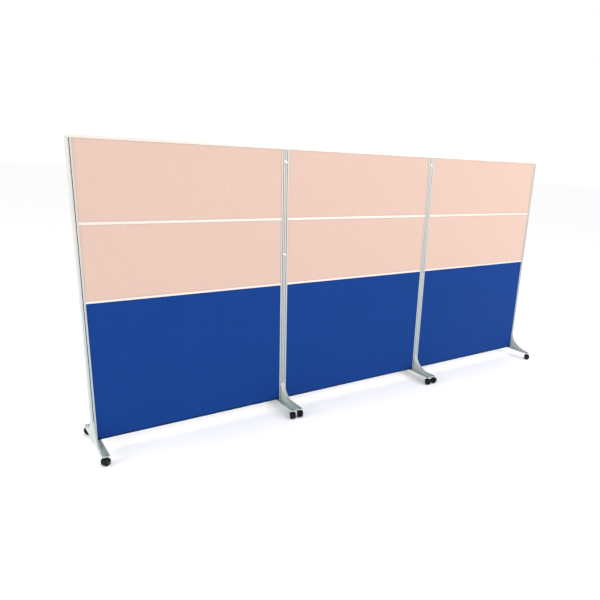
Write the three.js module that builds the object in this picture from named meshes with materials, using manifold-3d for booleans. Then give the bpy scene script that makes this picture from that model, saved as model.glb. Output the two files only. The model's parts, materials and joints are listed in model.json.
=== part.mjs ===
// Mobile partition wall: three framed, fabric-covered panels stand in a row and are linked by
// small hook links. Every panel has a cast foot under each end, with a twin-wheel swivel caster
// at both tips of the foot. Millimetres, +Z up. X runs along the wall and Y through it. The
// origin is on the floor, under the middle of the wall.

import * as THREE from 'three';
import { mergeVertices } from 'three/addons/utils/BufferGeometryUtils.js';
import Module from 'manifold-3d';

const wasm = await Module();
wasm.setup();

// ---------------------------------------------------------------- driving dimensions

// wall
const panelCount = 3;
const panelPitch = 1220;
const panelGap = 2;
const wallHeight = 1721;

// aluminium frame
const frameDepth = 50;
const frameCornerRadius = 3;
const stileLipWidth = 10;
const stileGrooveWidth = 3.5;
const stileGrooveDepth = 3;
const stileChannelDepth = 8;
const chamberWall = 2;
const topRailHeight = 17;
const topChannelDepth = 7;
const midRailHeight = 16;
const midRailDrop = 435;
const lowerRailHeight = 13;
const lowerRailUnderside = 863;
const railWebThickness = 4;
const bottomRailDepth = 24;
const bottomRailHeight = 14;

// fabric-covered boards
const boardRecess = 3.5;

// feet
const footLength = 454;
const footWidth = 42;
const footPlateThickness = 7;
const ribWidth = 12;
const ribHeight = 128;
const ribTipHeight = 10;
const ribTipInset = 14;
const ribCurveReach = 34;
const ribCurveShare = 0.21;
const spigotHeight = 60;
const footTipRadius = 5;

// casters
const casterInset = 16;
const casterFromEndFace = 27;
const wheelRadius = 20.5;
const wheelWidth = 10.5;
const wheelEdge = 2;
const trail = 10;
const hoodCover = 2;
const hoodToFoot = 7;
const hoodOverWheels = 1.2;
const hoodCornerRadius = 8;
const hoodSkirtDrop = 6;
const housingWidth = 9;
const axleRadius = 3;
const crownRadius = 9;
const stemRadius = 5;

// hook links between neighbouring panels
const linkThickness = 2.5;
const linkWidth = 12;
const linkFromEndFace = 6;
const linkDrop = 8;
const linkPinRadius = 2;
const linkPinLength = 7;
const linkMouthFlare = 1.5;
// depth of each link's pin below the top of the wall, with one row for each joint
const linkDepths = [[85, 653], [70]];

// facets round a full turn or along one curve
const cylinderSegments = 16;
const pinSegments = 12;
const wheelSegments = 24;
const coverSegments = 14;
const hoodCornerSegments = 3;
const frameCornerSegments = 4;
const footCornerSegments = 3;
const ribSegments = 10;
const linkEndSegments = 6;
const plainSegments = 1;

// clearances
const restGap = 0.3;
const boardFit = 0.5;
const boardOverFoot = 2;
const wheelSideFit = 0.8;
const wheelRimFit = 1;
const bearingGap = 0.5;
const boreFit = 0.3;
const overcut = 1;

// resting swivel of each caster: the direction in which its wheel trails, in degrees from +X,
// with one row for each panel: left front, left rear, right front, right rear
const trailDirections = [
  [215, 180, 256, 104],
  [256, 104, 250, 110],
  [290, 70, 305, 0],
];

// ---------------------------------------------------------------- derived dimensions

const halfDepth = frameDepth / 2;
const halfBoard = halfDepth - boardRecess;
const halfChannel = halfBoard + boardFit;
const hoodRadius = wheelRadius + wheelRimFit + hoodCover;
const hoodWidth = housingWidth + 2 * (wheelSideFit + wheelWidth + hoodOverWheels);
const footUnderside = wheelRadius + hoodRadius + hoodToFoot;
const footTop = footUnderside + footPlateThickness;
const boardUnderside = footTop + boardOverFoot;
const stileBottom = footTop + restGap;
const topRailUnderside = wallHeight - topRailHeight;
const stileTop = topRailUnderside - restGap;
const channelFloor = stileLipWidth + stileGrooveWidth + chamberWall;
const stileWidth = channelFloor + stileChannelDepth;
const midRailCentre = wallHeight - midRailDrop;
const panelWidth = panelPitch - panelGap;
const linkHeights = linkDepths.map((row) => row.map((depth) => wallHeight - depth));
const casterY = footLength / 2 - casterInset;
const hoodCrownTop = footUnderside - bearingGap;

// ---------------------------------------------------------------- materials

function material(color, roughness, metalness) {
  return new THREE.MeshStandardMaterial({ color, roughness, metalness });
}

const aluminium = () => material(0xd9d8d3, 0.38, 0.85);
const castMetal = () => material(0xb4bbbd, 0.5, 0.6);
const peachFabric = () => material(0xecd0bb, 0.95, 0);
const blueFabric = () => material(0x16438c, 0.95, 0);
const blackNylon = () => material(0x17181b, 0.55, 0);
const blackTyre = () => material(0x0d0d0f, 0.75, 0);

// ---------------------------------------------------------------- shape helpers

const group = new THREE.Group();

function place(geometry, name, surface, position = [0, 0, 0]) {
  const mesh = new THREE.Mesh(geometry, surface);
  mesh.name = name;
  mesh.position.set(...position);
  group.add(mesh);
  return mesh;
}

function outline(points) {
  return new THREE.Shape(points.map(([x, y]) => new THREE.Vector2(x, y)));
}

function extrude(shape, depth, curveSegments = plainSegments) {
  return new THREE.ExtrudeGeometry(shape, { depth, bevelEnabled: false, curveSegments });
}

// An outline drawn in (y, z), extruded along +X from x = 0.
function alongX(shape, length, curveSegments) {
  const geometry = extrude(shape, length, curveSegments);
  geometry.rotateX(Math.PI / 2);
  geometry.rotateZ(Math.PI / 2);
  return geometry;
}

// An outline drawn in (x, z), extruded to both sides of y = 0.
function acrossY(shape, width, curveSegments) {
  const geometry = extrude(shape, width, curveSegments);
  geometry.rotateX(Math.PI / 2);
  geometry.translate(0, width / 2, 0);
  return geometry;
}

function cylinder(radius, bottom, top, segments = cylinderSegments) {
  const geometry = new THREE.CylinderGeometry(radius, radius, top - bottom, segments);
  geometry.rotateX(Math.PI / 2);
  geometry.translate(0, 0, (top + bottom) / 2);
  return geometry;
}

function cylinderAcrossY(radius, width, segments = pinSegments) {
  return new THREE.CylinderGeometry(radius, radius, width, segments);
}

function boxFromTo(low, high) {
  const size = high.map((value, i) => value - low[i]);
  const geometry = new THREE.BoxGeometry(...size);
  geometry.translate(...high.map((value, i) => (value + low[i]) / 2));
  return geometry;
}

function solid(geometry) {
  const bare = geometry.clone();
  bare.deleteAttribute('normal');
  bare.deleteAttribute('uv');
  const welded = mergeVertices(bare, 1e-4);
  return new wasm.Manifold(new wasm.Mesh({
    numProp: 3,
    vertProperties: new Float32Array(welded.attributes.position.array),
    triVerts: new Uint32Array(welded.index.array),
  }));
}

function geometryOf(body) {
  const mesh = body.getMesh();
  const geometry = new THREE.BufferGeometry();
  geometry.setAttribute('position', new THREE.BufferAttribute(mesh.vertProperties, 3));
  geometry.setIndex(new THREE.BufferAttribute(mesh.triVerts, 1));
  geometry.computeVertexNormals();
  return geometry;
}

// ---------------------------------------------------------------- frame profiles

// Stile in plan: x = 0 is the panel's end face, and the board channel opens towards +X.
function stileProfile() {
  const r = frameCornerRadius;
  const d = halfDepth;
  const inner = halfDepth - stileGrooveDepth;
  const grooveStart = stileLipWidth;
  const grooveEnd = stileLipWidth + stileGrooveWidth;
  const shape = new THREE.Shape();
  shape.moveTo(r, -d);
  shape.lineTo(grooveStart, -d);
  shape.lineTo(grooveStart, -inner);
  shape.lineTo(grooveEnd, -inner);
  shape.lineTo(grooveEnd, -d);
  shape.lineTo(stileWidth, -d);
  shape.lineTo(stileWidth, -halfChannel);
  shape.lineTo(channelFloor, -halfChannel);
  shape.lineTo(channelFloor, halfChannel);
  shape.lineTo(stileWidth, halfChannel);
  shape.lineTo(stileWidth, d);
  shape.lineTo(grooveEnd, d);
  shape.lineTo(grooveEnd, inner);
  shape.lineTo(grooveStart, inner);
  shape.lineTo(grooveStart, d);
  shape.lineTo(r, d);
  shape.absarc(r, d - r, r, Math.PI / 2, Math.PI, false);
  shape.absarc(r, r - d, r, Math.PI, 1.5 * Math.PI, false);
  const c = chamber();
  shape.holes.push(outline([[c.x0, -c.y], [c.x0, c.y], [c.x1, c.y], [c.x1, -c.y]]));
  return shape;
}

// Hollow chamber of the stile, which takes the foot's spigot.
function chamber() {
  return {
    x0: chamberWall,
    x1: stileLipWidth - chamberWall,
    y: halfDepth - stileGrooveDepth - chamberWall,
  };
}

// Rail with a board channel above and below its web.
function railProfile(height) {
  const d = halfDepth;
  const low = -railWebThickness / 2;
  const high = railWebThickness / 2;
  const h = height / 2;
  return outline([
    [-d, -h], [-halfChannel, -h], [-halfChannel, low], [halfChannel, low],
    [halfChannel, -h], [d, -h], [d, h], [halfChannel, h],
    [halfChannel, high], [-halfChannel, high], [-halfChannel, h], [-d, h],
  ]);
}

// Top rail: rounded above, with a board channel below.
function topRailProfile() {
  const d = halfDepth;
  const r = frameCornerRadius;
  const h = topRailHeight;
  const shape = new THREE.Shape();
  shape.moveTo(-d, 0);
  shape.lineTo(-halfChannel, 0);
  shape.lineTo(-halfChannel, topChannelDepth);
  shape.lineTo(halfChannel, topChannelDepth);
  shape.lineTo(halfChannel, 0);
  shape.lineTo(d, 0);
  shape.lineTo(d, h - r);
  shape.absarc(d - r, h - r, r, 0, Math.PI / 2, false);
  shape.absarc(r - d, h - r, r, Math.PI / 2, Math.PI, false);
  return shape;
}

// ---------------------------------------------------------------- panels

function stile(side, linkLevels) {
  let body = solid(extrude(stileProfile(), stileTop - stileBottom, frameCornerSegments));
  for (const level of linkLevels) {
    const depth = linkPinLength + restGap;
    const hole = cylinderAcrossY(linkPinRadius + boreFit, depth + overcut);
    const studLength = linkThickness + 2 * restGap + overcut;
    const stud = cylinderAcrossY(linkPinRadius, studLength);
    const z = level - stileBottom;
    if (side === 'right') {
      hole.translate(linkFromEndFace, (depth - overcut) / 2 - halfDepth, z);
      body = body.subtract(solid(hole));
    } else {
      stud.translate(linkFromEndFace, overcut - halfDepth - studLength / 2, z - linkDrop);
      body = body.add(solid(stud));
    }
  }
  const geometry = geometryOf(body);
  if (side === 'right') mirrorX(geometry);
  return geometry;
}

// Reflects a geometry in x = 0 and keeps its faces pointing out.
function mirrorX(geometry) {
  geometry.scale(-1, 1, 1);
  const index = geometry.index.array;
  for (let i = 0; i < index.length; i += 3) {
    const first = index[i];
    index[i] = index[i + 1];
    index[i + 1] = first;
  }
  geometry.computeVertexNormals();
}

// Board from one height to another. The lowest board has a slot below for the bottom rail.
function board(length, bottom, top, slotted) {
  const points = [[-halfBoard, bottom]];
  if (slotted) {
    const half = bottomRailDepth / 2 + restGap;
    const roof = bottom + bottomRailHeight + restGap;
    points.push([-half, bottom], [-half, roof], [half, roof], [half, bottom]);
  }
  points.push([halfBoard, bottom], [halfBoard, top], [-halfBoard, top]);
  return alongX(outline(points), length);
}

function addPanel(number, left, linksOnLeft, linksOnRight) {
  const right = left + panelWidth;
  const name = (piece) => `panel_${number}_${piece}`;
  place(stile('left', linksOnLeft), name('left_stile'), aluminium(), [left, 0, stileBottom]);
  place(stile('right', linksOnRight), name('right_stile'), aluminium(), [right, 0, stileBottom]);

  place(alongX(topRailProfile(), panelWidth, frameCornerSegments), name('top_rail'), aluminium(),
    [left, 0, topRailUnderside]);
  const railStart = left + stileWidth + restGap;
  const railLength = panelWidth - 2 * (stileWidth + restGap);
  place(alongX(railProfile(midRailHeight), railLength), name('middle_rail'), aluminium(),
    [railStart, 0, midRailCentre]);
  place(alongX(railProfile(lowerRailHeight), railLength), name('lower_rail'), aluminium(),
    [railStart, 0, lowerRailUnderside + lowerRailHeight / 2]);

  const boardStart = left + channelFloor + boardFit;
  const boardLength = panelWidth - 2 * (channelFloor + boardFit);
  const half = bottomRailDepth / 2;
  place(boxFromTo([0, -half, 0], [boardLength, half, bottomRailHeight]), name('bottom_rail'),
    aluminium(), [boardStart, 0, boardUnderside]);

  const lowerWeb = lowerRailUnderside + lowerRailHeight / 2;
  const web = railWebThickness / 2 + boardFit;
  const upperTop = topRailUnderside + topChannelDepth - boardFit;
  place(board(boardLength, boardUnderside, lowerWeb - web, true), name('lower_board'),
    blueFabric(), [boardStart, 0, 0]);
  place(board(boardLength, lowerWeb + web, midRailCentre - web, false), name('middle_board'),
    peachFabric(), [boardStart, 0, 0]);
  place(board(boardLength, midRailCentre + web, upperTop, false), name('upper_board'),
    peachFabric(), [boardStart, 0, 0]);
}

// ---------------------------------------------------------------- feet

// Half of the foot's rib in (y, z), falling in a hollow curve from the stile to the tip.
function ribShape() {
  const root = halfDepth + restGap;
  const tip = footLength / 2 - ribTipInset;
  const shape = new THREE.Shape();
  shape.moveTo(root, 0);
  shape.lineTo(tip, 0);
  shape.lineTo(tip, ribTipHeight);
  shape.quadraticCurveTo(root + ribCurveReach, ribHeight * ribCurveShare, root, ribHeight);
  return shape;
}

function footPlan() {
  const r = footTipRadius;
  const w = footWidth;
  const h = footLength / 2;
  const shape = new THREE.Shape();
  shape.moveTo(0, -h);
  shape.lineTo(w - r, -h);
  shape.absarc(w - r, r - h, r, -Math.PI / 2, 0, false);
  shape.absarc(w - r, h - r, r, 0, Math.PI / 2, false);
  shape.lineTo(0, h);
  return shape;
}

function foot(side) {
  let body = solid(extrude(footPlan(), footPlateThickness, footCornerSegments));
  const frontRib = alongX(ribShape(), ribWidth, ribSegments);
  const rearRib = frontRib.clone();
  rearRib.rotateZ(Math.PI);
  rearRib.translate(ribWidth, 0, 0);
  body = body.add(solid(frontRib)).add(solid(rearRib));

  const c = chamber();
  const spigot = boxFromTo(
    [c.x0 + restGap, restGap - c.y, footPlateThickness / 2],
    [c.x1 - restGap, c.y - restGap, footPlateThickness + spigotHeight],
  );
  body = body.add(solid(spigot));
  for (const y of [-casterY, casterY]) {
    const hole = cylinder(stemRadius + boreFit, -overcut, footPlateThickness + overcut);
    hole.translate(casterFromEndFace, y, 0);
    body = body.subtract(solid(hole));
  }
  const geometry = geometryOf(body);
  if (side === 'right') mirrorX(geometry);
  return geometry;
}

// ---------------------------------------------------------------- casters

// Plan of the hood, rounded at its four corners, as an upright prism.
function hoodPlan() {
  const r = hoodCornerRadius;
  const x = hoodRadius - r;
  const y = hoodWidth / 2 - r;
  const shape = new THREE.Shape();
  shape.absarc(trail + x, y, r, 0, Math.PI / 2, false);
  shape.absarc(trail - x, y, r, Math.PI / 2, Math.PI, false);
  shape.absarc(trail - x, -y, r, Math.PI, 1.5 * Math.PI, false);
  shape.absarc(trail + x, -y, r, 1.5 * Math.PI, 2 * Math.PI, false);
  return extrude(shape, footTop, hoodCornerSegments);
}

// The pivot is at x = y = 0 and the wheels trail towards +X. A housing between the wheels
// carries the axle and the crown, and a thin cover curves over both wheels.
function casterHood() {
  const start = -Math.asin(hoodSkirtDrop / hoodRadius);
  const cover = new THREE.Shape();
  cover.absarc(trail, wheelRadius, hoodRadius, start, Math.PI - start, false);
  let body = solid(acrossY(cover, hoodWidth, coverSegments)).intersect(solid(hoodPlan()));

  const pocketRadius = wheelRadius + wheelRimFit;
  const pocketWidth = (hoodWidth - housingWidth) / 2 + overcut;
  for (const side of [-1, 1]) {
    const pocket = cylinderAcrossY(pocketRadius, pocketWidth, wheelSegments);
    pocket.translate(trail, side * (housingWidth + pocketWidth) / 2, wheelRadius);
    body = body.subtract(solid(pocket));
  }
  const bore = cylinderAcrossY(axleRadius + boreFit, housingWidth + overcut);
  bore.translate(trail, 0, wheelRadius);
  body = body.subtract(solid(bore));

  const crown = cylinder(crownRadius, wheelRadius + pocketRadius - overcut, hoodCrownTop);
  const stem = cylinder(stemRadius, hoodCrownTop - overcut, footTop - restGap);
  body = body.add(solid(crown)).add(solid(stem));
  return geometryOf(body);
}

// Two wheels on one axle, with the axle along Y through the origin.
function casterWheels() {
  const inner = housingWidth / 2 + wheelSideFit;
  const outer = inner + wheelWidth;
  const bore = axleRadius / 2;
  const profile = [
    [bore, inner], [wheelRadius, inner], [wheelRadius, outer - wheelEdge],
    [wheelRadius - wheelEdge, outer], [bore, outer], [bore, inner],
  ];
  const points = profile.map(([r, y]) => new THREE.Vector2(r, y));
  const wheel = new THREE.LatheGeometry(points, wheelSegments);
  const twin = wheel.clone();
  twin.rotateX(Math.PI);
  const axle = cylinderAcrossY(axleRadius, 2 * (outer - wheelEdge));
  return geometryOf(solid(wheel).add(solid(twin)).add(solid(axle)));
}

function addCaster(name, x, y, direction) {
  const turn = THREE.MathUtils.degToRad(direction);
  const caster = new THREE.Group();
  caster.position.set(x, y, 0);
  caster.rotation.z = turn;
  const hood = new THREE.Mesh(casterHood(), blackNylon());
  hood.name = `${name}_hood`;
  const wheel = new THREE.Mesh(casterWheels(), blackTyre());
  wheel.name = `${name}_wheel`;
  wheel.position.set(trail, 0, wheelRadius);
  caster.add(hood, wheel);
  group.add(caster);
}

// ---------------------------------------------------------------- hook links

// The pin is at x = z = 0. The arm slopes down to the neighbouring panel's stud, and its hook
// is open below, so that it lifts off the stud.
function hookLink() {
  const across = 2 * linkFromEndFace + panelGap;
  const reach = Math.hypot(across, linkDrop);
  const slope = Math.atan2(linkDrop, across);
  const r = linkWidth / 2;
  const arm = new THREE.Shape();
  arm.absarc(0, 0, r, Math.PI / 2, 1.5 * Math.PI, false);
  arm.absarc(reach, 0, r, -Math.PI / 2, Math.PI / 2, false);
  const plate = acrossY(arm, linkThickness, linkEndSegments);
  let body = solid(plate);

  const mouth = linkPinRadius + boreFit;
  const notch = boxFromTo(
    [reach - mouth - linkMouthFlare, -linkWidth, -linkWidth],
    [reach + mouth, linkWidth, 0],
  );
  const seat = cylinderAcrossY(mouth, 2 * linkWidth);
  seat.translate(reach, 0, 0);
  body = body.subtract(solid(notch)).subtract(solid(seat));

  const pin = cylinderAcrossY(linkPinRadius, linkPinLength);
  pin.translate(0, linkPinLength / 2, 0);
  body = body.add(solid(pin));
  const geometry = geometryOf(body);
  geometry.rotateY(slope);
  return geometry;
}

// ---------------------------------------------------------------- assembly

const wallLeft = -panelCount * panelPitch / 2;
const footSides = ['left', 'right'];

for (let i = 0; i < panelCount; i += 1) {
  const number = i + 1;
  const left = wallLeft + i * panelPitch + panelGap / 2;
  const right = left + panelWidth;
  addPanel(number, left, linkHeights[i - 1] ?? [], linkHeights[i] ?? []);

  footSides.forEach((side, s) => {
    const endFace = side === 'left' ? left : right;
    const inward = side === 'left' ? 1 : -1;
    place(foot(side), `panel_${number}_${side}_foot`, castMetal(), [endFace, 0, footUnderside]);
    const x = endFace + inward * casterFromEndFace;
    const label = `caster_${number}_${side}`;
    addCaster(`${label}_front`, x, -casterY, trailDirections[i][2 * s]);
    addCaster(`${label}_rear`, x, casterY, trailDirections[i][2 * s + 1]);
  });

  (linkHeights[i] ?? []).forEach((level, k) => {
    const y = -halfDepth - restGap - linkThickness / 2;
    const x = right - linkFromEndFace;
    place(hookLink(), `link_${number}_${k + 1}`, aluminium(), [x, y, level]);
  });
}

export default group;
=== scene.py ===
"""Looks of the mobile partition wall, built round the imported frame. Metres, +Z up.

Three framed fabric panels stand in a row on cast feet with hooded swivel casters, and hook links
join them. The camera stands in front of the left end, a little below the top of the wall.
"""

import json
import math

import bmesh
import bpy
from mathutils import Matrix, Vector, noise


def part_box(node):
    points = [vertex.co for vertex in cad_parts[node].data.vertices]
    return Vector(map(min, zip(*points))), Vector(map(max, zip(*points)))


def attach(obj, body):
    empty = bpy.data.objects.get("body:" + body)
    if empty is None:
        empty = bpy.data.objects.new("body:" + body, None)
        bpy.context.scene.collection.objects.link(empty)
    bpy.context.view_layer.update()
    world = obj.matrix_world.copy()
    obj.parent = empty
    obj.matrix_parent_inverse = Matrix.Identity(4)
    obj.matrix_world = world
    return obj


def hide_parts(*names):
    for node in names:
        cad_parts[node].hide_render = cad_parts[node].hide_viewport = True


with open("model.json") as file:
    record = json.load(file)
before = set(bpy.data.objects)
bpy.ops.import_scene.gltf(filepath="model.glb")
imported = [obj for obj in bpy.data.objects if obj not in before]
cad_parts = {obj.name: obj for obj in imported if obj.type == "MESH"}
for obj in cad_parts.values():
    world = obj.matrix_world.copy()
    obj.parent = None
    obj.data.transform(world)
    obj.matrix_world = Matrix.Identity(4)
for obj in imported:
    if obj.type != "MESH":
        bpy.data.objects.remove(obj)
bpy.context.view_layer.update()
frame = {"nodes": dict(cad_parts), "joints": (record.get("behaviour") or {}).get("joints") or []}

MM = 0.001
WALL = "wall"
PANELS = (1, 2, 3)
SIDES = ("left", "right")
ENDS = ("front", "rear")

# ------------------------------------------------------------------ sizes used by the looks

STILE_WIDTH = 23.5 * MM
STILE_LIP = 10 * MM
STILE_GROOVE = 3.5 * MM
STILE_GROOVE_DEPTH = 3 * MM
CHANNEL_DEPTH = 8 * MM
TOP_CHANNEL_DEPTH = 7 * MM
RAIL_WEB = 4 * MM
BOARD_PLAY = 1 * MM
FRAME_ROUNDING = 3 * MM
RAIL_ROUNDING = 1.6 * MM

# dark rubber strips in the stiles' grooves, which stand in as painted shade
SHADE_GASKET_HEIGHT = 1.2 * MM
SHADE_GASKET_PLAY = 0.05 * MM
SHADE_GASKET_SHOULDER = 0.5 * MM
SHADE_GASKET_ROUNDING = 0.3 * MM
SHADE_GASKET_CREST_SHARE = 0.4
SHADE_GASKET_END_GAP = 1 * MM

PLUG_PLAY = 0.1 * MM
PLUG_SETBACK = 0.2 * MM
PLUG_EASE = 0.5 * MM
PLUG_ROUNDING = 0.8 * MM
PLUG_LENGTH = 9 * MM

# the first two give the top and the fade of the painted shade on the blue board's lower edge
HEM_SHADE_TOP = 78 * MM
HEM_SHADE_FADE = 10 * MM
HEM_RADIUS = 6 * MM
HEM_STEPS = 8
SLOT_PLAY = 0.4 * MM
SLOT_LIP = 0.3 * MM
BOARD_CROWN = 1.3 * MM
BOARD_ROLL = 9 * MM
BOARD_SEAT = 0.2 * MM
BOARD_WAVE = 0.22 * MM
BROAD_WAVES, FINE_WAVES, FINE_WAVE_SHARE = 5.0, 17.0, 0.5
WEAVE_PITCH = 0.9 * MM

# the uprights carry a darker, bluer painted shade and reflection, full below the first height and
# gone above the second
SHADE_FULL_BELOW, SHADE_GONE_ABOVE = 0.60, 1.25

PLATE_THICKNESS = 7 * MM
RIB_WIDTH = 12 * MM
RIB_HEIGHT = 128 * MM
RIB_TIP_HEIGHT = 10 * MM
RIB_TIP_INSET = 14 * MM
RIB_TIP_FADE = 0.6 * RIB_TIP_INSET
RIB_CONTROL = (34 * MM, 0.21)
RIB_CLEARANCE = 0.3 * MM
RIB_STATIONS, TIP_STATIONS = 44, 16
FILLET = 5 * MM
TIP_RADIUS = 6 * MM
STEM_FROM_END_FACE = 27 * MM
SCREW_FROM_END_FACE = 27 * MM
SCREW_REACHES = (57 * MM, 103 * MM)
CASTER_INSET = 16 * MM

TRAIL = 10 * MM
WHEEL_RADIUS = 20.5 * MM
WHEEL_WIDTH = 10.5 * MM
WHEEL_INNER = 5.3 * MM
HUB_SPOKES = 6
HOOD_RADIUS = 23.5 * MM
HOOD_WIDTH = 34 * MM
HOOD_CORNER = 8 * MM
HOOD_DROP = 6 * MM
HOOD_STEPS = 64
HOUSING_WIDTH = 9 * MM
POCKET_RADIUS = 21.5 * MM
BORE_RADIUS = 3.3 * MM
CROWN_RADIUS = 9 * MM
CROWN_EASE = 0.4 * MM
CROWN_BELOW_PLATE = 0.5 * MM
STEM_RADIUS = 5 * MM
JOIN_OVERLAP = 1 * MM

LINK_RUN, LINK_DROP = 14 * MM, 8 * MM
LINK_THICKNESS = 2.5 * MM
LINK_WIDTH = 12 * MM
LINK_MOUTH = 2.3 * MM
LINK_END_STEPS = 16
STUD_SETBACK = 0.3 * MM


# ------------------------------------------------------------------ material helpers

class Nodes:
    """A material's node tree, with short calls for the nodes used here."""

    def __init__(self, name):
        self.material = bpy.data.materials.new(name)
        self.material.use_nodes = True
        self.tree = self.material.node_tree
        self.shader = self.tree.nodes["Principled BSDF"]

    def add(self, kind, inputs=None, **settings):
        node = self.tree.nodes.new(kind)
        for key, value in settings.items():
            setattr(node, key, value)
        for key, value in (inputs or {}).items():
            self.set(node.inputs[key], value)
        return node

    def set(self, socket, value):
        if isinstance(value, bpy.types.NodeSocket):
            self.tree.links.new(value, socket)
        else:
            socket.default_value = value

    def put(self, **values):
        for key, value in values.items():
            self.set(self.shader.inputs[key.replace("_", " ")], value)

    def place(self, scale=(1, 1, 1)):
        """Object coordinates, stretched by scale."""
        coordinates = self.add("ShaderNodeTexCoord").outputs["Object"]
        mapping = self.add("ShaderNodeMapping", {"Vector": coordinates, "Scale": scale})
        return mapping.outputs["Vector"]

    def height(self):
        """Height above the floor, on pieces that stand still."""
        return self.add("ShaderNodeSeparateXYZ", {"Vector": self.place()}).outputs["Z"]

    def facing_up(self):
        """1 on faces that look up and 0 on upright ones."""
        normal = self.add("ShaderNodeNewGeometry").outputs["Normal"]
        up = self.add("ShaderNodeSeparateXYZ", {"Vector": normal}).outputs["Z"]
        return self.ramp(up, 0.6, 0.95)

    def noise(self, vector, scale, detail=3.0, roughness=0.55):
        inputs = {"Vector": vector, "Scale": scale, "Detail": detail, "Roughness": roughness}
        return self.add("ShaderNodeTexNoise", inputs).outputs["Fac"]

    def ramp(self, factor, low, high, value_low=0.0, value_high=1.0):
        """Maps factor from low..high to value_low..value_high."""
        inputs = {
            "Value": factor, "From Min": low, "From Max": high,
            "To Min": value_low, "To Max": value_high,
        }
        return self.add("ShaderNodeMapRange", inputs).outputs["Result"]

    def math(self, operation, a, b):
        node = self.add("ShaderNodeMath", operation=operation)
        self.set(node.inputs[0], a)
        self.set(node.inputs[1], b)
        return node.outputs[0]

    def mix(self, factor, a, b, blend="MIX"):
        node = self.add("ShaderNodeMix", data_type="RGBA", blend_type=blend)
        self.set(node.inputs["Factor"], factor)
        self.set(node.inputs[6], a)
        self.set(node.inputs[7], b)
        return node.outputs[2]

    def bump(self, height, strength, distance):
        inputs = {"Height": height, "Strength": strength, "Distance": distance}
        return self.add("ShaderNodeBump", inputs).outputs["Normal"]

    def edge_wear(self, radius):
        """Near 1 on convex edges and near 0 on flat faces."""
        bevel = self.add("ShaderNodeBevel", {"Radius": radius}, samples=4).outputs["Normal"]
        geometry = self.add("ShaderNodeNewGeometry").outputs["Normal"]
        dot = self.add("ShaderNodeVectorMath", operation="DOT_PRODUCT")
        self.set(dot.inputs[0], bevel)
        self.set(dot.inputs[1], geometry)
        return self.ramp(dot.outputs["Value"], 0.995, 0.9)


def colour(r, g, b):
    return (r, g, b, 1.0)


def scaled(tint, factor):
    """A lighter or darker shade of a tint."""
    return colour(*(c * factor for c in tint))


# ------------------------------------------------------------------ materials

def brushed_aluminium(name, along, tint, painted_low_tint=None):
    """Satin anodised extrusion, with its drawing lines along one axis.

    Towards the floor, a second, darker and bluer tint takes over: painted shade and painted
    reflection."""
    n = Nodes(name)
    fine, coarse, line_shade = 900, 6, 0.86
    stretch = tuple(coarse if axis == along else fine for axis in "xyz")
    lines = n.noise(n.place(stretch), 1.0, 4.0, 0.65)
    cloud = n.noise(n.place(), 5.0, 2.0)
    base = n.mix(n.ramp(lines, 0.3, 0.7), scaled(tint, line_shade), colour(*tint))
    handled = colour(*(c * f for c, f in zip(tint, (0.93, 0.92, 0.90))))
    base = n.mix(n.ramp(cloud, 0.45, 0.75, 0.0, 0.5), base, handled)
    # painted shade and reflection: the uprights grow darker and bluer towards the floor
    if painted_low_tint:
        painted_low_shade = n.mix(n.ramp(lines, 0.3, 0.7), scaled(painted_low_tint, line_shade), colour(*painted_low_tint))
        base = n.mix(n.ramp(n.height(), SHADE_GONE_ABOVE, SHADE_FULL_BELOW), base, painted_low_shade)
    n.put(
        Base_Color=base,
        Metallic=0.55,
        Roughness=n.ramp(lines, 0.3, 0.7, 0.30, 0.46),
        Normal=n.bump(lines, 0.25, 0.06 * MM),
    )
    return n.material


def cast_silver(name, tint, shaded_top_tint):
    """Silver-grey paint over a casting: fine pebble, scuffed edges, and darker faces that look
    up, which are painted shade.
    """
    n = Nodes(name)
    where = n.place()
    pebble = n.noise(where, 900.0, 2.0)
    patches = n.noise(where, 28.0, 4.0)
    speck = n.noise(where, 2600.0, 1.0)
    base = n.mix(n.ramp(patches, 0.35, 0.7), scaled(tint, 0.84), colour(*tint))
    # painted shade: the faces that look up are darker
    painted_top_shade = n.mix(n.ramp(patches, 0.35, 0.7), scaled(shaded_top_tint, 0.80), colour(*shaded_top_tint))
    base = n.mix(n.facing_up(), base, painted_top_shade)
    base = n.mix(n.ramp(speck, 0.62, 0.8, 0.0, 0.3), base, colour(0.72, 0.74, 0.73))
    scuffed = n.math("MULTIPLY", n.edge_wear(1.2 * MM), n.ramp(patches, 0.4, 0.6, 0.0, 0.6))
    base = n.mix(scuffed, base, colour(0.82, 0.83, 0.83))
    n.put(
        Base_Color=base,
        Metallic=0.2,
        Roughness=n.ramp(patches, 0.3, 0.7, 0.38, 0.54),
        Normal=n.bump(pebble, 0.35, 0.12 * MM),
    )
    return n.material


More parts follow.
